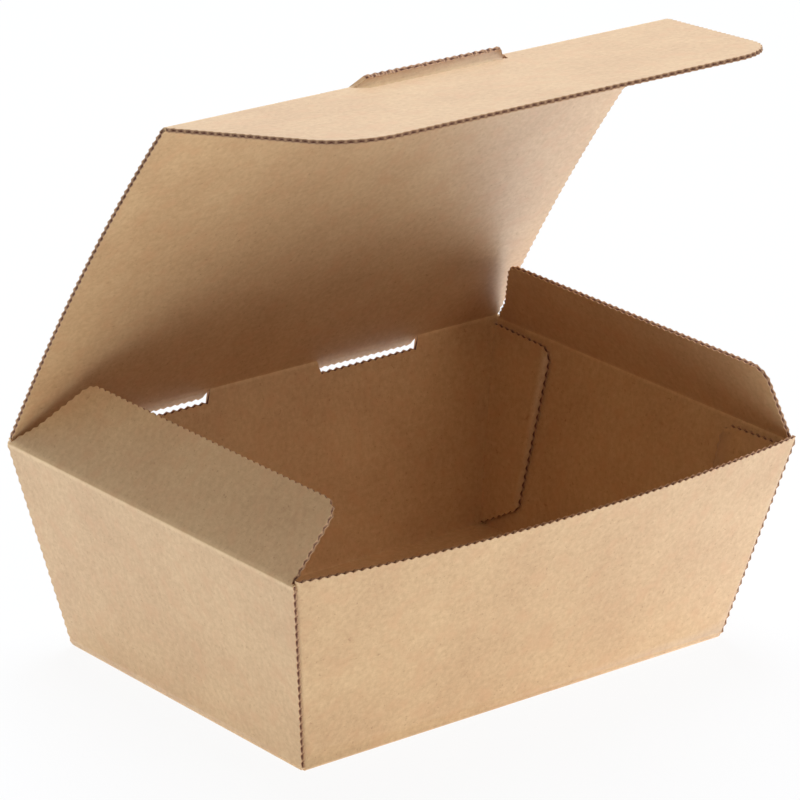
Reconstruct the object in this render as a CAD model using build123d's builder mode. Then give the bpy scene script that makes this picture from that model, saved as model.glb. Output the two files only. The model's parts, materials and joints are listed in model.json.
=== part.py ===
"""Takeaway box folded from one sheet of kraft micro-flute board.

The tray leans outwards to its rim. A lid hangs on the back wall and carries a tuck flap
and a pull tongue, and each end wall carries a side flap. The box stands open.
+X runs along the front wall, +Y to the back and +Z up, from the middle of the floor.
"""
from build123d import *
from math import atan2, cos, radians, sin, tan
import os

os.makedirs("parts", exist_ok=True)

# The board and how it is cut and creased
board = 1.2
fold_inside = 0.4
crease_gap = 0.15
tooth_pitch = 2.5
tooth_depth = 0.6

# The tray, over its outer faces
floor_length = 150.0
floor_width = 103.0
rim_length = 177.4
rim_width = 127.0
wall_height = 61.0
front_bow = 7.5
side_fold_drop = 0.8
front_stub = 2.5
seam_gap = 0.2
overrun = 5.0

# Glue tabs inside the end walls
tab_reach = 27.0
tab_top_drop = 1.6
tab_top_fall = 0.8
tab_foot_lift = 1.3
tab_foot_rise = 8.5
tab_corner = 4.5
tab_foot_corner = 1.5

# The lid and its open angle above the rim
lid_length = 125.8
lid_side_gap = 1.2
lid_bow = 2.8
lid_angle = 57.3

# Hinge tabs, cut out of the back wall and left in the plane of the lid
hinge_tab_offset = 38.0
hinge_tab_length = 37.0
hinge_tab_depth = 3.0
hinge_tab_slant = 1.3
slot_clearance = 0.3

# The pull tongue, cut out of the tuck flap and left in the plane of the lid
tongue_length = 53.0
tongue_slant = 3.0
tongue_height = 4.6

# The tuck flap and its angle above the horizontal
tuck_depth = 59.5
tuck_side_inset = 0.6
tuck_taper = 14.5
tuck_corner = 18.0
tuck_angle = 8.2

# The side flaps and their angles above the rim, leaning in over the tray
flap_width = 24.5
flap_front_gap = 2.2
flap_back_gap = 2.0
flap_front_inset = 3.9
flap_back_inset = 17.0
flap_knee_inset = 7.8
flap_knee_width = 7.5
flap_corner = 5.5
left_flap_angle = 48.0
right_flap_angle = 66.0

# Sizes that follow from the ones above
end_lean = atan2((rim_length - floor_length) / 2, wall_height)
side_lean = atan2((rim_width - floor_width) / 2, wall_height)
fold_outside = fold_inside + board
crease_start = board / 2 + crease_gap
lid_width = rim_length - 2 * lid_side_gap
lid_radius = (lid_length**2 / 4 + lid_bow**2) / (2 * lid_bow)
lid_fold_height = wall_height - board / 2
side_fold_height = lid_fold_height - side_fold_drop


def outer_face(floor_size, lean, height):
    """Distance from the middle to the outer face of a leaning wall, at a height."""
    return floor_size / 2 + height * tan(lean)


def middle_of_board(floor_size, lean, height):
    """Distance from the middle to the centre of the board, at a height."""
    return outer_face(floor_size, lean, height) - board / 2 / cos(lean)


def inner_face(floor_size, lean, height):
    """Distance from the middle to the inner face of a leaning wall, at a height."""
    return outer_face(floor_size, lean, height) - board / cos(lean)


def wave_cut(path):
    """Corners of the zigzag that the cutting rule leaves along a path."""
    steps = 2 * max(1, round(path.length / tooth_pitch))
    corners = []
    for step in range(steps + 1):
        sideways = (path % (step / steps)).rotate(Axis.Z, 90)
        swing = tooth_depth / 2 if step % 2 else -tooth_depth / 2
        corners.append(path @ (step / steps) + sideways * swing)
    return corners


def folded_section(floor_size, lean, right_height, left_height):
    """Section of the floor and the two walls that fold up from it, closed and in order."""
    right_end = middle_of_board(floor_size, lean, right_height)
    left_end = middle_of_board(floor_size, lean, left_height)
    across = board / 2 * cos(lean)
    along = board / 2 * sin(lean)
    return [
        (right_end + across, right_height - along),
        (floor_size / 2, 0),
        (-floor_size / 2, 0),
        (-left_end - across, left_height - along),
        (-left_end + across, left_height + along),
        (-inner_face(floor_size, lean, board), board),
        (inner_face(floor_size, lean, board), board),
        (right_end - across, right_height + along),
    ]


# Floor, back wall and the foot of the front wall: one folded section along X
with BuildPart() as long_walls:
    with BuildSketch(Plane.YZ) as long_section:
        with BuildLine():
            Polyline(folded_section(floor_width, side_lean, lid_fold_height, wall_height), close=True)
        make_face()
        fillet(long_section.vertices().group_by(Axis.Y)[1], fold_inside)
        fillet(long_section.vertices().group_by(Axis.Y)[0], fold_outside)
        with Locations((-rim_width / 2, front_stub)):
            Rectangle(
                rim_width / 2,
                wall_height + overrun,
                align=(Align.CENTER, Align.MIN),
                mode=Mode.SUBTRACT,
            )
        with Locations((middle_of_board(floor_width, side_lean, lid_fold_height), lid_fold_height)):
            Circle(board / 2)
    extrude(amount=rim_length / 2, both=True)

    # It ends at the inner faces of the end walls
    above_rim = wall_height + 2 * overrun
    with BuildSketch(Plane.XZ) as between_ends:
        with BuildLine():
            Polyline(
                (inner_face(floor_length, end_lean, -overrun), -overrun),
                (inner_face(floor_length, end_lean, above_rim), above_rim),
                (-inner_face(floor_length, end_lean, above_rim), above_rim),
                (-inner_face(floor_length, end_lean, -overrun), -overrun),
                close=True,
            )
        make_face()
    extrude(amount=rim_width, both=True, mode=Mode.INTERSECT)

    # The front wall is straight at its foot and bows out to an arc at its rim
    rim_cut_height = wall_height + overrun
    rim_bow = front_bow * (rim_cut_height - front_stub) / (wall_height - front_stub)
    wall_band = board / cos(side_lean)
    with BuildSketch(Plane.XY.offset(front_stub)):
        foot_half = inner_face(floor_length, end_lean, front_stub)
        foot_front = -outer_face(floor_width, side_lean, front_stub)
        with BuildLine():
            Line((-foot_half, foot_front), (foot_half, foot_front))
            Line((foot_half, foot_front), (foot_half, foot_front + wall_band))
            Line((foot_half, foot_front + wall_band), (-foot_half, foot_front + wall_band))
            Line((-foot_half, foot_front + wall_band), (-foot_half, foot_front))
        make_face()
    with BuildSketch(Plane.XY.offset(rim_cut_height)):
        rim_half = inner_face(floor_length, end_lean, rim_cut_height)
        rim_front = -outer_face(floor_width, side_lean, rim_cut_height)
        rim_back = rim_front + wall_band
        with BuildLine():
            ThreePointArc((-rim_half, rim_front), (0, rim_front - rim_bow), (rim_half, rim_front))
            Line((rim_half, rim_front), (rim_half, rim_back))
            ThreePointArc((rim_half, rim_back), (0, rim_back - rim_bow), (-rim_half, rim_back))
            Line((-rim_half, rim_back), (-rim_half, rim_front))
        make_face()
    loft(ruled=True)

    # Wave-cut rim of the front wall
    past_ends = outer_face(floor_length, end_lean, above_rim)
    with BuildSketch(Plane.XZ) as above_front_rim:
        with BuildLine(mode=Mode.PRIVATE):
            rim_path = Line((-rim_length / 2, wall_height), (rim_length / 2, wall_height))
        with BuildLine():
            Polyline(
                [
                    *wave_cut(rim_path),
                    (past_ends, wall_height),
                    (past_ends, above_rim),
                    (-past_ends, above_rim),
                    (-past_ends, wall_height),
                ],
                close=True,
            )
        make_face()
    extrude(amount=rim_width, mode=Mode.SUBTRACT)

    # Slots that the hinge tabs leave in the back wall
    slot_depth = hinge_tab_depth + tooth_depth + slot_clearance
    slot_half = hinge_tab_length / 2 + slot_clearance
    with BuildSketch(Plane.XZ) as slots:
        with BuildLine(mode=Mode.PRIVATE):
            slot_path = Line(
                (hinge_tab_slant - slot_half, lid_fold_height - slot_depth),
                (slot_half - hinge_tab_slant, lid_fold_height - slot_depth),
            )
        for middle in (-hinge_tab_offset, hinge_tab_offset):
            with BuildLine():
                Polyline(
                    [
                        *[corner + Vector(middle, 0) for corner in wave_cut(slot_path)],
                        (middle + slot_half, lid_fold_height),
                        (middle + slot_half, above_rim),
                        (middle - slot_half, above_rim),
                        (middle - slot_half, lid_fold_height),
                    ],
                    close=True,
                )
            make_face()
    extrude(amount=-rim_width, mode=Mode.SUBTRACT)

# End walls with their half of the floor: one folded section along Y, wave-cut at its ends
with BuildPart() as end_walls:
    with BuildSketch(Plane.XZ) as end_section:
        with BuildLine():
            Polyline(
                folded_section(floor_length, end_lean, side_fold_height, side_fold_height), close=True
            )
        make_face()
        fillet(end_section.vertices().group_by(Axis.Y)[1], fold_inside)
        fillet(end_section.vertices().group_by(Axis.Y)[0], fold_outside)
        fold_line = middle_of_board(floor_length, end_lean, side_fold_height)
        with Locations((fold_line, side_fold_height), (-fold_line, side_fold_height)):
            Circle(board / 2)
    extrude(amount=rim_width, both=True)

    setback = seam_gap + tooth_depth / 2
    floor_reach = floor_width / 2 - fold_outside
    edge_foot = outer_face(floor_width, side_lean, fold_outside) - setback
    edge_top = outer_face(floor_width, side_lean, wall_height) - setback
    with BuildSketch(Plane.YZ) as end_outline:
        with BuildLine(mode=Mode.PRIVATE):
            back_edge = Line((edge_foot, fold_outside), (edge_top, wall_height))
            front_edge = Line((-edge_top, wall_height), (-edge_foot, fold_outside))
        with BuildLine():
            Polyline(
                [(floor_reach, 0), *wave_cut(back_edge), *wave_cut(front_edge), (-floor_reach, 0)],
                close=True,
            )
        make_face()
    extrude(amount=rim_length, both=True, mode=Mode.INTERSECT)

# Glue tabs: they fold off the front and back walls and lie against the end walls
with BuildPart() as glue_tabs:
    with BuildSketch(Plane.XZ) as tab_section:
        for side in (-1, 1):
            with BuildLine():
                Polyline(
                    (side * inner_face(floor_length, end_lean, 0), 0),
                    (side * inner_face(floor_length, end_lean, wall_height), wall_height),
                    (side * (inner_face(floor_length, end_lean, wall_height) - board), wall_height),
                    (side * (inner_face(floor_length, end_lean, 0) - board), 0),
                    close=True,
                )
            make_face()
    extrude(amount=rim_width, both=True)

    tab_edge = rim_width / 2 - tab_reach
    tab_top = side_fold_height - tab_top_drop
    with BuildSketch(Plane.YZ) as tab_outline:
        with BuildLine(mode=Mode.PRIVATE):
            tab_path = FilletPolyline(
                (middle_of_board(floor_width, side_lean, tab_top), tab_top),
                (tab_edge, tab_top - tab_top_fall),
                (tab_edge, tab_foot_lift + tab_foot_rise),
                (middle_of_board(floor_width, side_lean, tab_foot_lift), tab_foot_lift),
                radius=[tab_corner, tab_foot_corner],
            )
        with BuildLine():
            Polyline(wave_cut(tab_path), close=True)
        make_face()
        mirror(about=Plane.YZ)
    extrude(amount=rim_length, both=True, mode=Mode.INTERSECT)

with BuildPart() as tray:
    add(long_walls.part)
    add(end_walls.part)
    add(glue_tabs.part)
tray.part.label = "tray"
export_step(tray.part, "parts/tray.step")


# The lid: an arched band, trimmed to the outline of the sheet
lid_fold = (0, middle_of_board(floor_width, side_lean, lid_fold_height), lid_fold_height)
lid_slope = radians(lid_angle)
lid_along = (0, -cos(lid_slope), sin(lid_slope))
lid_inwards = (0, -sin(lid_slope), -cos(lid_slope))
lid_plane = Plane(origin=lid_fold, x_dir=(1, 0, 0), z_dir=lid_inwards)
lid_side_view = Plane(origin=lid_fold, x_dir=lid_along, z_dir=(1, 0, 0))


def lid_outline():
    """Corners of the lid as seen from inside, from the left end of its fold round to the start."""
    half = lid_width / 2 - tooth_depth / 2
    tongue_foot = tongue_length / 2
    tongue_tip = tongue_foot - tongue_slant
    tab_tip = hinge_tab_length / 2 - hinge_tab_slant
    with BuildLine(mode=Mode.PRIVATE):
        left_side = Line((-half, crease_start), (-half, lid_length))
        right_side = Line((half, lid_length), (half, crease_start))
        tip = lid_length + tongue_height
        tongue_edge = Line((-tongue_tip, tip), (tongue_tip, tip))
        tab_edge_line = Line((tab_tip, -hinge_tab_depth), (-tab_tip, -hinge_tab_depth))
    corners = [*wave_cut(left_side), (-tongue_foot, lid_length), *wave_cut(tongue_edge)]
    corners += [(tongue_foot, lid_length), *wave_cut(right_side)]
    for side in (1, -1):
        middle = side * hinge_tab_offset
        corners.append((middle + hinge_tab_length / 2, crease_start))
        corners += [corner + Vector(middle, 0) for corner in wave_cut(tab_edge_line)]
        corners.append((middle - hinge_tab_length / 2, crease_start))
    return corners


with BuildPart() as lid:
    with BuildSketch(lid_side_view) as lid_section:
        with Locations((lid_length / 2, lid_radius - lid_bow)):
            Circle(lid_radius + board / 2)
            Circle(lid_radius - board / 2, mode=Mode.SUBTRACT)
        with Locations((lid_length / 2, 0)):
            Rectangle(lid_length + 4 * overrun, 2 * lid_bow + 2 * overrun, mode=Mode.INTERSECT)
    extrude(amount=lid_width / 2, both=True)
    with BuildSketch(lid_plane) as lid_cut:
        with BuildLine():
            Polyline(lid_outline(), close=True)
        make_face()
    extrude(amount=lid_bow + overrun, both=True, mode=Mode.INTERSECT)
    with BuildSketch(lid_side_view) as lid_front_fold:
        with Locations((lid_length, 0)):
            Circle(board / 2)
    extrude(amount=lid_width / 2 - tooth_depth, both=True)
lid.part.label = "lid"
export_step(lid.part, "parts/lid.step")


# The tuck flap hangs on the front edge of the lid, notched round the pull tongue
tuck_slope = radians(tuck_angle)
tuck_fold = Vector(*lid_fold) + Vector(*lid_along) * lid_length
tuck_plane = Plane(origin=tuck_fold, x_dir=(1, 0, 0), z_dir=(0, -sin(tuck_slope), -cos(tuck_slope)))

with BuildPart() as tuck_flap:
    with BuildSketch(tuck_plane) as tuck_cut:
        tuck_half = lid_width / 2 - tuck_side_inset
        notch_foot = tongue_length / 2 + slot_clearance
        notch_tip = notch_foot - tongue_slant
        notch_depth = tongue_height + tooth_depth + slot_clearance
        with BuildLine(mode=Mode.PRIVATE):
            tuck_path = FilletPolyline(
                (-tuck_half, crease_start),
                (tuck_taper - tuck_half, tuck_depth),
                (tuck_half - tuck_taper, tuck_depth),
                (tuck_half, crease_start),
                radius=tuck_corner,
            )
            notch_path = Line((notch_tip, notch_depth), (-notch_tip, notch_depth))
        with BuildLine():
            Polyline(
                [
                    *wave_cut(tuck_path),
                    (notch_foot, crease_start),
                    *wave_cut(notch_path),
                    (-notch_foot, crease_start),
                ],
                close=True,
            )
        make_face()
    extrude(amount=board / 2, both=True)
tuck_flap.part.label = "tuck_flap"
export_step(tuck_flap.part, "parts/tuck_flap.step")


def flap_outline():
    """Corners of a side flap: its fold lies along the first axis, with the back end positive."""
    back = rim_width / 2
    with BuildLine(mode=Mode.PRIVATE):
        path = FilletPolyline(
            (back - flap_back_gap, crease_start),
            (back - flap_knee_inset, flap_knee_width),
            (back - flap_back_inset, flap_width),
            (flap_front_inset - back, flap_width),
            (flap_front_gap - back, crease_start),
            radius=flap_corner,
        )
    return wave_cut(path)


def flap_plane(side, angle):
    """Plane of a side flap, with its origin on the fold of an end wall."""
    slope = radians(angle)
    fold = side * middle_of_board(floor_length, end_lean, side_fold_height)
    normal = (sin(slope), 0, side * cos(slope))
    return Plane(origin=(fold, 0, side_fold_height), x_dir=(0, 1, 0), z_dir=normal)


with BuildPart() as left_side_flap:
    with BuildSketch(flap_plane(-1, left_flap_angle)) as left_flap_cut:
        with BuildLine():
            Polyline(flap_outline(), close=True)
        make_face()
    extrude(amount=board / 2, both=True)
left_side_flap.part.label = "left_side_flap"
export_step(left_side_flap.part, "parts/left_side_flap.step")

with BuildPart() as right_side_flap:
    with BuildSketch(flap_plane(1, right_flap_angle)) as right_flap_cut:
        with BuildLine():
            Polyline(flap_outline(), close=True)
        make_face()
    extrude(amount=board / 2, both=True)
right_side_flap.part.label = "right_side_flap"
export_step(right_side_flap.part, "parts/right_side_flap.step")
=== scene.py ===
# %% [markdown]
# # A takeaway box of kraft board
# The box is one sheet of thin corrugated board, cut with a wave-edged rule, creased, folded and glued at
# its corners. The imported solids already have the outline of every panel. What they lack is paper: the
# speckled liner, the fluting along each cut, the soft round of a crease. This lesson adds those.

import json
from math import cos, pi, radians, sin

import bmesh
import bpy
from mathutils import Matrix, Vector


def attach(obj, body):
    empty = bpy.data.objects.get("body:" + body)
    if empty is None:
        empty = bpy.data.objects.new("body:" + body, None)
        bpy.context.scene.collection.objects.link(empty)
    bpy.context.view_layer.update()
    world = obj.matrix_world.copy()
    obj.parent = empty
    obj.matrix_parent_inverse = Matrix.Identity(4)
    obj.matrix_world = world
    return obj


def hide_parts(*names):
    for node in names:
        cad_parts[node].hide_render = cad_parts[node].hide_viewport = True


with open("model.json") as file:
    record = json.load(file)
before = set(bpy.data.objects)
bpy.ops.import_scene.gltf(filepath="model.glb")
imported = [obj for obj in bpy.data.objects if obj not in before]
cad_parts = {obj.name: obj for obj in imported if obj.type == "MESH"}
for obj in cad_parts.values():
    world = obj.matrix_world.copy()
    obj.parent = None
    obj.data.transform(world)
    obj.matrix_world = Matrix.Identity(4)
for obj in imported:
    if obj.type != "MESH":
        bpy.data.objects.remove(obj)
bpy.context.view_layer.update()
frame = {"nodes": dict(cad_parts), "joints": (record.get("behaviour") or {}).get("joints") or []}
print("solids:", sorted(frame["nodes"]))

MM = 0.001
BOARD = 1.2 * MM

# %% [markdown]
# ## The camera
# The corners of the box in the picture fix the camera: it stands to the left of the front wall, a little
# above the box, far away behind a long lens. The view is written as angles, a focal length in pixels and
# the place of the box in front of the lens. A matrix of its own axes then turns the camera at once, which
# is simpler than aiming it at a target and rolling it afterwards.

# %% Camera
PICTURE = 800
SENSOR = 36.0
AZIMUTH = radians(-40.1)
ELEVATION = radians(20.68)
ROLL = radians(1.5)
FOCAL_PIXELS = 4805
BOX_RIGHT = -0.4 * MM
BOX_DOWN = 67.2 * MM
BOX_AWAY = 1337.7 * MM

away = -Vector((sin(AZIMUTH) * cos(ELEVATION), -cos(AZIMUTH) * cos(ELEVATION), sin(ELEVATION)))
flat = away.cross(Vector((0, 0, 1))).normalized()
upright = flat.cross(away)
right = cos(ROLL) * flat + sin(ROLL) * upright
up = cos(ROLL) * upright - sin(ROLL) * flat


def link_up(obj):
    bpy.context.scene.collection.objects.link(obj)
    return obj


camera_data = bpy.data.cameras.new("camera")
camera_data.sensor_width = SENSOR
camera_data.lens = FOCAL_PIXELS / PICTURE * SENSOR
camera = link_up(bpy.data.objects.new("camera", camera_data))
turn = Matrix((right, up, -away)).transposed()
box_ahead = BOX_RIGHT * right - BOX_DOWN * up + BOX_AWAY * away
camera.matrix_world = Matrix.Translation(-box_ahead) @ turn.to_4x4()
bpy.context.scene.camera = camera
print("lens in mm:", round(camera_data.lens, 1))

# %% [markdown]
# ## Shader sums written as Python
# A speckle is a sum of several noises, and drawn as a graph that is a tangle. A small class wraps a
# socket and overloads the arithmetic operators, so that a mask reads as a formula. Every other node comes
# from one method, which sets the node's own settings first and then its sockets. The same two classes
# serve materials, the sky and, further down, a tree of Geometry Nodes.


# %% A socket that can be added and multiplied
class Wire:
    """An output socket, with the arithmetic that this box uses."""

    def __init__(self, work, socket):
        self.work = work
        self.socket = socket

    def also(self, name):
        """Another output of the same node."""
        return Wire(self.work, self.socket.node.outputs[name])

    def maths(self, operation, first, second):
        return self.work.node("ShaderNodeMath", {"operation": operation}, {0: first, 1: second})

    def __add__(self, other):
        return self.maths("ADD", self, other)

    __radd__ = __add__

    def __sub__(self, other):
        return self.maths("SUBTRACT", self, other)

    def __rsub__(self, other):
        return self.maths("SUBTRACT", other, self)

    def __mul__(self, other):
        return self.maths("MULTIPLY", self, other)

    __rmul__ = __mul__

    def __pow__(self, other):
        return self.maths("POWER", self, other)


class NodeWork:
    """A node tree under construction, and the one method that adds to it."""

    def __init__(self, tree):
        self.tree = tree
        tree.nodes.clear()

    def node(self, kind, settings=None, sockets=None, out=0):
        made = self.tree.nodes.new(kind)
        for key, value in (settings or {}).items():
            setattr(made, key, value)
        for key, value in (sockets or {}).items():
            if isinstance(value, Wire):
                self.tree.links.new(value.socket, made.inputs[key])
            else:
                made.inputs[key].default_value = value
        return Wire(self, made.outputs[out]) if made.outputs else None

    def noise(self, place, scale, detail=2.0, roughness=0.5):
        sockets = {"Vector": place, "Scale": scale, "Detail": detail, "Roughness": roughness}
        return self.node("ShaderNodeTexNoise", {}, sockets)

    def blend(self, factor, first, second):
        return self.node("ShaderNodeMix", {"data_type": "RGBA"}, {0: factor, 6: first, 7: second}, out=2)

    def step(self, value, low, high):
        """Nought below low, one above high and smooth between them."""
        sockets = {"Value": value, "From Min": low, "From Max": high}
        return self.node("ShaderNodeMapRange", {"interpolation_type": "SMOOTHSTEP"}, sockets)

    def surface(self, skin):
        """The surface of a material: one Principled shader with these sockets."""
        shader = self.node("ShaderNodeBsdfPrincipled", {}, skin)
        self.node("ShaderNodeOutputMaterial", {}, {"Surface": shader})

    def seen(self):
        """One for rays that show the background: to the camera, in a gloss or through glass."""
        ray = self.node("ShaderNodeLightPath", out="Is Camera Ray")
        either = ray.maths("MAXIMUM", ray, ray.also("Is Glossy Ray"))
        return ray.maths("MAXIMUM", either, ray.also("Is Transmission Ray"))


def finish_named(name):
    """A new material and the work on its tree."""
    material = bpy.data.materials.new(name)
    material.use_nodes = True
    return material, NodeWork(material.node_tree)


def srgb(red, green, blue):
    """A screen colour, 0 to 255, as the linear colour that a shader wants."""
    shares = [value / 255 for value in (red, green, blue)]
    return [s / 12.92 if s <= 0.04045 else ((s + 0.055) / 1.055) ** 2.4 for s in shares] + [1.0]


# %% [markdown]
# ## Light
# The outer walls of the box are as bright at their foot as at their rim, although they lean outwards, so
# their light comes from below: the box stands on a lit table. The inside is dark and red, because hardly
# any light enters from above: the lid shades it, and what gets in has bounced between brown walls. So
# the sky is dim for everything but the camera and what mirrors it, which see plain white.

# %% Sky
WHITE = (1, 1, 1, 1)
SKY_LEVEL = 0.2

world = bpy.data.worlds.new("sky")
world.use_nodes = True
bpy.context.scene.world = world
sky = NodeWork(world.node_tree)
strength = SKY_LEVEL + (1 - SKY_LEVEL) * sky.seen()
backdrop = sky.node("ShaderNodeBackground", {}, {"Color": WHITE, "Strength": strength})
sky.node("ShaderNodeOutputWorld", {}, {"Surface": backdrop})

# %% [markdown]
# Two lamps are enough. One, large and cool, stands high and behind the lid and lights the tuck flap. A
# weak and warmer one in front reaches in under that flap to the back wall. Large round lamps are used
# because the box has no hard shadow on it.


# %% Lamps
def soft_lamp(name, place, size, watts, tint):
    """A round lamp that faces the box."""
    data = bpy.data.lights.new(name, "AREA")
    data.shape = "DISK"
    data.size = size
    data.energy = watts
    data.color = tint
    lamp = link_up(bpy.data.objects.new(name, data))
    facing = Vector(place).to_track_quat("Z", "Y").to_matrix().to_4x4()
    lamp.matrix_world = Matrix.Translation(place) @ facing
    print(name, "stands", round(Vector(place).length, 2), "m away")


soft_lamp("top_lamp", (0.25, 0.4, 1.4), size=0.9, watts=20, tint=(0.92, 1.04, 1.25))
soft_lamp("front_lamp", (0.5, -1.1, 1.0), size=0.8, watts=3.2, tint=(1.1, 0.95, 0.88))

# %% [markdown]
# ## Table
# The table glows for everything that it lights, as an opal sheet with lamps under it does: evenly under
# the box and less further out, so that it lights the walls more than the lid, with a brighter patch to
# the right, which draws a light strip along the lid's right edge. Rays from the camera see mostly plain
# white, and a part of the unlit sheet stays in the mix to keep the shadow of the box.

# %% Table
TABLE_HALF = 3.0
TABLE_DROP = 0.05 * MM
TABLE_PAINT = (0.9, 0.9, 0.9, 1)
GLOWS = (
    {"level": 0.92, "tint": (0.97, 1.05, 1.09, 1), "centre": (0, 0, 0), "near": 0.25, "far": 0.9},
    {"level": 2.0, "tint": (0.88, 1.02, 1.25, 1), "centre": (0.24, 0.08, 0), "near": 0.08, "far": 0.3},
)
WHITE_SHARE = 0.93

table_mesh = bpy.data.meshes.new("table")
corners = [(x * TABLE_HALF, y * TABLE_HALF, -TABLE_DROP) for x, y in ((-1, -1), (1, -1), (1, 1), (-1, 1))]
table_mesh.from_pydata(corners, [], [(0, 1, 2, 3)])
table = link_up(bpy.data.objects.new("table", table_mesh))

table_white, paint = finish_named("table_white")
matt = paint.node("ShaderNodeBsdfDiffuse", {}, {"Color": TABLE_PAINT})
white = paint.node("ShaderNodeEmission", {}, {"Color": WHITE, "Strength": 1.0})
plain = paint.node("ShaderNodeMixShader", {}, {0: WHITE_SHARE, 1: matt, 2: white})
spot = paint.node("ShaderNodeTexCoord", out="Object")
glowing = matt
for patch in GLOWS:
    ends = {0: spot, 1: patch["centre"]}
    distance = paint.node("ShaderNodeVectorMath", {"operation": "DISTANCE"}, ends, out="Value")
    level = patch["level"] * (1 - paint.step(distance, patch["near"], patch["far"]))
    lit = paint.node("ShaderNodeEmission", {}, {"Color": patch["tint"], "Strength": level})
    glowing = paint.node("ShaderNodeAddShader", {}, {0: glowing, 1: lit})
mixed = paint.node("ShaderNodeMixShader", {}, {0: paint.seen(), 1: glowing, 2: plain})
paint.node("ShaderNodeOutputMaterial", {}, {"Surface": mixed})
table_mesh.materials.append(table_white)

# %% [markdown]
# ## Kraft liner
# Kraft paper isn't one brown. Seen close, long fibres cross each other in lighter and darker strands,
# small dark flecks of bark lie between them, and broad clouds and redder patches show where the pulp lay
# thicker. Each is a noise at its own size in millimetres, read from Object coordinates, so that the paper
# keeps its scale on every panel. Along a crease the colour is lighter: partly the stretched paper, partly a
# painted highlight where the round of the fold catches the light. The paper is matt, with a trace of fuzz
# that shows as sheen where it is seen at a flat angle.

# %% Kraft liner finish
KRAFT_DARK = srgb(174, 124, 75)
KRAFT_LIGHT = srgb(222, 185, 133)
KRAFT_RED = srgb(207, 156, 107)
CLOUD = 18 * MM
BLUSH = 5 * MM
MOTTLE = 1.5 * MM
FIBRE_LENGTH = 2.4 * MM
FIBRE_WIDTH = 0.28 * MM
FLECK = 0.9 * MM
CREASE_REACH = 1.5 * MM
NOISE_MEAN = 0.5
MIDDLE_TONE = 0.6
CLOUD_SHARE = 0.4
MOTTLE_SHARE = 0.85
FIBRE_SHARE = 0.9
FLECK_SHARE = 0.35
FLECK_START = 0.68
FLECK_FULL = 0.76
# Lighter tone along a crease: partly stretched paper, partly a painted highlight on the fold.
CREASE_STRETCH_AND_HIGHLIGHT = 0.3
BLUSH_START = 0.45
BLUSH_FULL = 0.75
BLUSH_SHARE = 0.45
GRAIN_MOTTLE = 0.5
GRAIN_STRENGTH = 0.15
GRAIN_RELIEF = 0.08 * MM
LINER_ROUGHNESS = 0.55
LINER_GLOSS = 0.8
LINER_FUZZ = 0.15
FUZZ_ROUGHNESS = 0.5


def kraft_liner(name, creases):
    """Kraft paper. Each crease is (axes, place): the two axes across it, and where it lies on them."""
    material, paper = finish_named(name)
    place = paper.node("ShaderNodeTexCoord", out="Object")
    cloud = paper.noise(place, 1 / CLOUD, detail=1.0)
    mottle = paper.noise(place, 1 / MOTTLE, detail=3.0, roughness=0.6)
    strands = []
    for stretch in ((1, 0, 0), (0, 1, 0), (0, 0, 1)):
        scale = [1 / FIBRE_LENGTH if along else 1 / FIBRE_WIDTH for along in stretch]
        drawn = paper.node("ShaderNodeMapping", {}, {"Vector": place, "Scale": scale})
        strands.append(paper.noise(drawn, 1.0, detail=2.0, roughness=0.7))
    fibre = (strands[0] + strands[1] + strands[2]) * (1 / 3)
    fleck = paper.step(paper.noise(place, 1 / FLECK, detail=1.0), FLECK_START, FLECK_FULL)
    tone = MIDDLE_TONE + CLOUD_SHARE * (cloud - NOISE_MEAN)
    tone = tone + MOTTLE_SHARE * (mottle - NOISE_MEAN) + FIBRE_SHARE * (fibre - NOISE_MEAN)
    tone = tone - FLECK_SHARE * fleck
    split = paper.node("ShaderNodeSeparateXYZ", {}, {0: place}, out="X")
    # Painted highlight along each crease, lighter near its line, partly for the stretched paper.
    for axes, centre in creases:
        offsets = [split.also(axis) - value for axis, value in zip(axes, centre)]
        far = (offsets[0] * offsets[0] + offsets[1] * offsets[1]) ** 0.5
        tone = tone + CREASE_STRETCH_AND_HIGHLIGHT * (1 - paper.step(far, BOARD / 2, CREASE_REACH))
    brown = paper.blend(tone, KRAFT_DARK, KRAFT_LIGHT)
    blush = paper.step(paper.noise(place, 1 / BLUSH, detail=2.0), BLUSH_START, BLUSH_FULL)
    grain = fibre + GRAIN_MOTTLE * mottle
    bump_sockets = {"Height": grain, "Strength": GRAIN_STRENGTH, "Distance": GRAIN_RELIEF}
    skin = {
        "Base Color": paper.blend(BLUSH_SHARE * blush, brown, KRAFT_RED),
        "Normal": paper.node("ShaderNodeBump", {}, bump_sockets),
        "Roughness": LINER_ROUGHNESS,
        "Specular IOR Level": LINER_GLOSS,
        "Sheen Weight": LINER_FUZZ,
        "Sheen Roughness": FUZZ_ROUGHNESS,
    }
    paper.surface(skin)
    return material


# %% [markdown]
# ## Raw edge
# Where the rule cuts, the board shows its make: two pale liners at the borders and between them the open
# flutes, dark from painted shade and the darker raw core, crossed by the wave of the fluting. The liners
# and the hollow are drawn on a UV map of each facet of the cut, which runs along it from the bottom of a
# tooth to its tip, and across it from liner to liner. The tips get a painted highlight, as light catches
# them. The fluting itself is thin paper that stands out, so it gets a mesh.

# %% Raw edge and fluting finishes
# The dark of the cut: painted shade in the open flutes, partly the darker raw core.
EDGE_SHADE_AND_CORE = srgb(100, 60, 44)
EDGE_PAPER = srgb(200, 158, 120)
LINER_START = 0.42
LINER_FULL = 0.66
# Tips of the teeth: a painted highlight, where light catches them.
TIP_HIGHLIGHT_START = 0.45
TIP_HIGHLIGHT_FULL = 0.9
TIP_HIGHLIGHT_SHARE = 0.85
LINER_RAGGED = 0.3
TIP_HIGHLIGHT_RAGGED = 0.5
EDGE_STRENGTH = 0.4
EDGE_RELIEF = 0.1 * MM
EDGE_ROUGHNESS = 0.95


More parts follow.
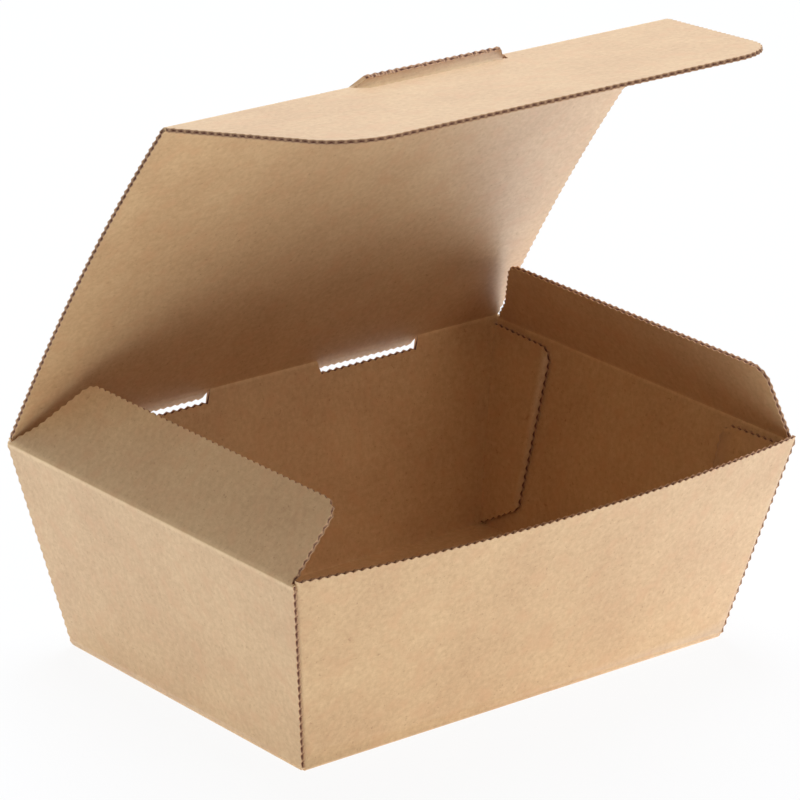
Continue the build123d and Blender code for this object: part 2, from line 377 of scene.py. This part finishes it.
def raw_edge(name):
    """The cut: pale liners, a painted highlight at the tooth tips, painted shade and dark core between."""
    material, core = finish_named(name)
    uv = core.node("ShaderNodeUVMap", {"uv_map": "cut"})
    along = core.node("ShaderNodeSeparateXYZ", {}, {0: uv}, out="X")
    place = core.node("ShaderNodeTexCoord", out="Object")
    ragged = core.noise(place, 1 / FIBRE_WIDTH, detail=2.0)
    off_centre = core.node("ShaderNodeMath", {"operation": "ABSOLUTE"}, {0: along.also("Y") * 2 - 1})
    liner = core.step(off_centre + LINER_RAGGED * (ragged - NOISE_MEAN), LINER_START, LINER_FULL)
    # A painted highlight towards the tip of each tooth.
    tip = TIP_HIGHLIGHT_SHARE * core.step(along + TIP_HIGHLIGHT_RAGGED * (ragged - NOISE_MEAN), TIP_HIGHLIGHT_START, TIP_HIGHLIGHT_FULL)
    pale = along.maths("MAXIMUM", liner, tip)
    bump_sockets = {"Height": ragged, "Strength": EDGE_STRENGTH, "Distance": EDGE_RELIEF}
    # Dark hollow is painted shade with the raw core; pale parts are liner and the tips' painted highlight.
    skin = {
        "Base Color": core.blend(pale, EDGE_SHADE_AND_CORE, EDGE_PAPER),
        "Normal": core.node("ShaderNodeBump", {}, bump_sockets),
        "Roughness": EDGE_ROUGHNESS,
    }
    core.surface(skin)
    return material


def fluting_paper(name):
    """The core's own paper, plainer and a little darker than the liner."""
    material, paper = finish_named(name)
    place = paper.node("ShaderNodeTexCoord", out="Object")
    speckle = paper.noise(place, 1 / FIBRE_WIDTH, detail=2.0)
    skin = {"Base Color": paper.blend(speckle, EDGE_SHADE_AND_CORE, EDGE_PAPER), "Roughness": EDGE_ROUGHNESS}
    paper.surface(skin)
    return material


edge_finish = raw_edge("raw_edge")
fluting_finish = fluting_paper("fluting_paper")

# %% [markdown]
# ## Fluting
# The core is one sheet pressed into waves, and along a cut its edge shows as a line that swings from one
# liner to the other. It repeats on more than a thousand facets and follows each of them, which is work
# for Geometry Nodes. The tree bends a thin bar into half a wave, puts one copy on every facet, and lays
# it between the corners that the facet's point carries as attributes. Half a wave on each flank of each
# tooth joins up into one wave along the whole cut.


# %% Fluting tree
BAR_MIDDLE = 0.5


def vectors(work, operation, sockets):
    return work.node("ShaderNodeVectorMath", {"operation": operation}, sockets)


def fluting_tree():
    """Points with start, along, across and facing become half waves of thin paper."""
    tree = bpy.data.node_groups.new("fluting", "GeometryNodeTree")
    work = NodeWork(tree)
    tree.interface.new_socket("Facets", in_out="INPUT", socket_type="NodeSocketGeometry")
    tree.interface.new_socket("Paper Share", in_out="INPUT", socket_type="NodeSocketFloat")
    tree.interface.new_socket("Swing Share", in_out="INPUT", socket_type="NodeSocketFloat")
    tree.interface.new_socket("Rise", in_out="INPUT", socket_type="NodeSocketFloat")
    tree.interface.new_socket("Steps", in_out="INPUT", socket_type="NodeSocketInt")
    tree.interface.new_socket("Paper", in_out="INPUT", socket_type="NodeSocketMaterial")
    tree.interface.new_socket("Fluting", in_out="OUTPUT", socket_type="NodeSocketGeometry")
    given = work.node("NodeGroupInput", out="Facets")

    size = work.node("ShaderNodeCombineXYZ", {}, {0: 1.0, 1: given.also("Paper Share"), 2: 1.0})
    bar_sockets = {"Size": size, "Vertices X": given.also("Steps"), "Vertices Y": 2, "Vertices Z": 2}
    bar = work.node("GeometryNodeMeshCube", {}, bar_sockets)
    spot = work.node("ShaderNodeSeparateXYZ", {}, {0: work.node("GeometryNodeInputPosition")}, out="X")
    run = spot + BAR_MIDDLE
    wave = work.node("ShaderNodeMath", {"operation": "COSINE"}, {0: run * pi})
    swung = spot.also("Y") + BAR_MIDDLE - wave * given.also("Swing Share")
    bent = work.node("ShaderNodeCombineXYZ", {}, {0: run, 1: swung, 2: spot.also("Z")})
    half_wave = work.node("GeometryNodeSetPosition", {}, {"Geometry": bar, "Position": bent})
    marked = work.node(
        "GeometryNodeStoreNamedAttribute",
        {"data_type": "FLOAT_VECTOR", "domain": "POINT"},
        {"Geometry": half_wave, "Name": "unit", "Value": work.node("GeometryNodeInputPosition")},
    )
    copies = work.node("GeometryNodeInstanceOnPoints", {}, {"Points": given, "Instance": marked})
    plain = work.node("GeometryNodeRealizeInstances", {}, {"Geometry": copies})

    def carried(name):
        return work.node("GeometryNodeInputNamedAttribute", {"data_type": "FLOAT_VECTOR"}, {"Name": name})

    unit = work.node("ShaderNodeSeparateXYZ", {}, {0: carried("unit")}, out="X")
    laid = carried("start")
    amounts = {"along": unit, "across": unit.also("Y"), "facing": unit.also("Z") * given.also("Rise")}
    for name, amount in amounts.items():
        reach = vectors(work, "SCALE", {"Vector": carried(name), "Scale": amount})
        laid = vectors(work, "ADD", {0: laid, 1: reach})
    placed = work.node("GeometryNodeSetPosition", {}, {"Geometry": plain, "Position": laid})
    dress = {"Geometry": placed, "Material": given.also("Paper")}
    finished = work.node("GeometryNodeSetMaterial", {}, dress)
    work.node("NodeGroupOutput", {}, {"Fluting": finished})
    return tree


flute_tree = fluting_tree()

# %% [markdown]
# The modifier's inputs are set by the identifiers of the tree's sockets. Then the evaluated object is
# turned into a plain mesh, its normals are made to point outwards, and the modifier goes.

# %% Fluting of one node
CORE_PAPER = 0.16 * MM
CORE_RISE = 0.16 * MM
SWING_SHARE = 0.27
HALF_WAVE_STEPS = 7
FLUTE_SIZES = {
    "Paper Share": CORE_PAPER / BOARD,
    "Swing Share": SWING_SHARE,
    "Rise": CORE_RISE,
    "Steps": HALF_WAVE_STEPS,
    "Paper": fluting_finish,
}


def fluting_on(node, body, facets):
    """One mesh of fluting for all the cuts of a node. Each facet is its start, along, across, facing."""
    spots = bpy.data.meshes.new(node + "_facets")
    spots.from_pydata([facet[0] for facet in facets], [], [])
    for index, name in enumerate(("start", "along", "across", "facing")):
        layer = spots.attributes.new(name, "FLOAT_VECTOR", "POINT")
        layer.data.foreach_set("vector", [value for facet in facets for value in facet[index]])
    grower = link_up(bpy.data.objects.new(node + "_facets", spots))
    modifier = grower.modifiers.new("fluting", "NODES")
    modifier.node_group = flute_tree
    for item in flute_tree.interface.items_tree:
        if item.name in FLUTE_SIZES:
            modifier[item.identifier] = FLUTE_SIZES[item.name]
    evaluated = grower.evaluated_get(bpy.context.evaluated_depsgraph_get())
    mesh = bpy.data.meshes.new_from_object(evaluated)
    bpy.data.objects.remove(grower)
    for name in ("unit", "start", "along", "across", "facing"):
        mesh.attributes.remove(mesh.attributes[name])
    work = bmesh.new()
    work.from_mesh(mesh)
    bmesh.ops.recalc_face_normals(work, faces=work.faces)
    work.to_mesh(mesh)
    work.free()
    piece = link_up(bpy.data.objects.new(node + "_fluting", mesh))
    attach(piece, body)
    print(piece.name, "half waves:", len(facets), "faces:", len(mesh.polygons))


# %% [markdown]
# ## From solid to board
# Each solid has the right outline, so a copy of its mesh is the board, with its flat faces joined again
# into whole panels. In that copy a cut facet is easy to know: it is a small face with four corners, as
# wide as the board is thick. Those get the raw edge and the fluting, and all others get liner. A tooth's
# tip is a convex edge and its bottom a concave one, which says how the wave swings on each flank. Which
# liner it starts from is told by one slanting direction, the same for the whole box, so that the half
# waves of neighbouring facets meet.

# %% Find the cuts of a copied solid
CUT_SLACK = 0.15
CUT_LONGEST = 7 * MM
FLUTE_SHORTEST = 0.9 * MM
FLUTE_LONGEST = 2.2 * MM
CORNER_ANGLE = radians(160)
ONE_SIDE = Vector((0.31, 0.52, 0.79))


def cut_corners(face):
    """The corner loops of a cut facet, from the start of a side across the board, or None."""
    corners = [loop for loop in face.loops if loop.calc_angle() < CORNER_ANGLE]
    if len(corners) != 4:
        return None
    spots = [loop.vert.co for loop in corners]
    sides = [(spots[(turn + 1) % 4] - spots[turn]).length for turn in range(4)]
    for first in (0, 1):
        across = sides[first], sides[first + 2]
        along = sides[1 - first], sides[3 - first]
        if all(abs(side / BOARD - 1) < CUT_SLACK for side in across) and max(along) < CUT_LONGEST:
            return corners[first:] + corners[:first]
    return None


def liner_side(face, edge):
    """How far the panel beyond an edge of a cut faces one chosen way."""
    return max((other.normal.dot(ONE_SIDE) for other in edge.link_faces if other != face), default=0.0)


def laid_out(face, corners):
    """The facet's corners in order: bottom and tip on one side of the board, bottom on the other."""
    ends = [(corners[0], corners[1]), (corners[3], corners[2])]
    if corners[0].edge.is_convex and not corners[2].edge.is_convex:
        ends.reverse()
    near, far = (0, 1) if liner_side(face, corners[3].edge) >= liner_side(face, corners[1].edge) else (1, 0)
    return [loop.vert.co.copy() for loop in (ends[0][near], ends[1][near], ends[0][far])]


# %% [markdown]
# The solids of two panels that share a crease stop a hair apart, so that they can turn. On the real box
# the sheet runs on, so the base of each copied panel is drawn in to the middle of the crease's round.
# Both turn about that line, so the fold stays closed at every angle.

# %% Close the creases and dress the board
SAME_PLACE = 0.001 * MM
SAME_PLANE = radians(0.2)
SHARP = radians(24)
BASE_NEAR = 0.7 * MM
BASE_FAR = 1.3 * MM
TUCKED = 0.02 * MM
SQUARE_ON = 0.99


def close_crease(work, axes, centre):
    """Draw the flat base of a panel in to its crease."""
    indices = ["XYZ".index(axis) for axis in axes]
    middle = Vector(centre)
    for face in work.faces:
        offsets = [Vector([vert.co[i] for i in indices]) - middle for vert in face.verts]
        if not all(BASE_NEAR < offset.length < BASE_FAR for offset in offsets):
            continue
        normal = Vector([face.normal[i] for i in indices])
        gap = -sum(offsets, Vector((0, 0))).dot(normal) / len(offsets)
        if normal.length < SQUARE_ON or gap < BASE_NEAR:
            continue
        for vert in face.verts:
            for i, part in zip(indices, normal):
                vert.co[i] += part * (gap - TUCKED)
        print("crease closed at", [round(value / MM, 2) for value in middle])


def board_from(node, body, creases, base=None):
    """The dressed copy of a node, riding on its body."""
    mesh = frame["nodes"][node].data.copy()
    mesh.materials.clear()
    work = bmesh.new()
    work.from_mesh(mesh)
    bmesh.ops.remove_doubles(work, verts=work.verts, dist=SAME_PLACE)
    bmesh.ops.dissolve_limit(work, angle_limit=SAME_PLANE, verts=work.verts, edges=work.edges)
    cut_map = work.loops.layers.uv.new("cut")
    facets = []
    for face in work.faces:
        face.smooth = True
        corners = cut_corners(face)
        face.material_index = 0 if corners is None else 1
        if corners is None:
            continue
        start, tip, other = laid_out(face, corners)
        along, across = tip - start, other - start
        for loop in face.loops:
            reach = loop.vert.co - start
            loop[cut_map].uv = [reach.dot(side) / side.length_squared for side in (along, across)]
        if FLUTE_SHORTEST < along.length < FLUTE_LONGEST:
            facets.append((start, along, across, face.normal.copy()))
    if base:
        close_crease(work, *base)
    work.to_mesh(mesh)
    work.free()
    mesh.set_sharp_from_angle(angle=SHARP)
    mesh.materials.append(kraft_liner(node + "_liner", creases))
    mesh.materials.append(edge_finish)
    piece = link_up(bpy.data.objects.new(node + "_board", mesh))
    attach(piece, body)
    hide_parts(node)
    print(piece.name, "faces:", len(mesh.polygons))
    fluting_on(node, body, facets)


# %% [markdown]
# ## The five panels
# Each body of the box is one panel or one glued group of panels. The frame holds its hinges, and their
# places are where the paper is painted lighter, partly for its stretch and partly as a painted highlight on
# the fold, and where the folds are closed. The tray has three creases and no base of its own to draw in.
# Each of the others is drawn in to the crease that it hangs on.

# %% All five panels
joint = {item["name"]: Vector(item["pos_m"]) for item in frame["joints"]}
lid_crease = ("YZ", joint["lid_hinge"].yz)
tuck_crease = ("YZ", joint["tuck_flap_hinge"].yz)
left_crease = ("XZ", joint["left_side_flap_hinge"].xz)
right_crease = ("XZ", joint["right_side_flap_hinge"].xz)

board_from("tray", "tray", [lid_crease, left_crease, right_crease])
board_from("lid", "lid", [lid_crease, tuck_crease], lid_crease)
board_from("tuck_flap", "tuck_flap", [tuck_crease], tuck_crease)
board_from("left_side_flap", "left_side_flap", [left_crease], left_crease)
board_from("right_side_flap", "right_side_flap", [right_crease], right_crease)

# %% [markdown]
# ## The last lines
# Standard is the plain view transform: a colour comes out as it was mixed.

# %% Finish
bpy.context.scene.view_settings.view_transform = "Standard"
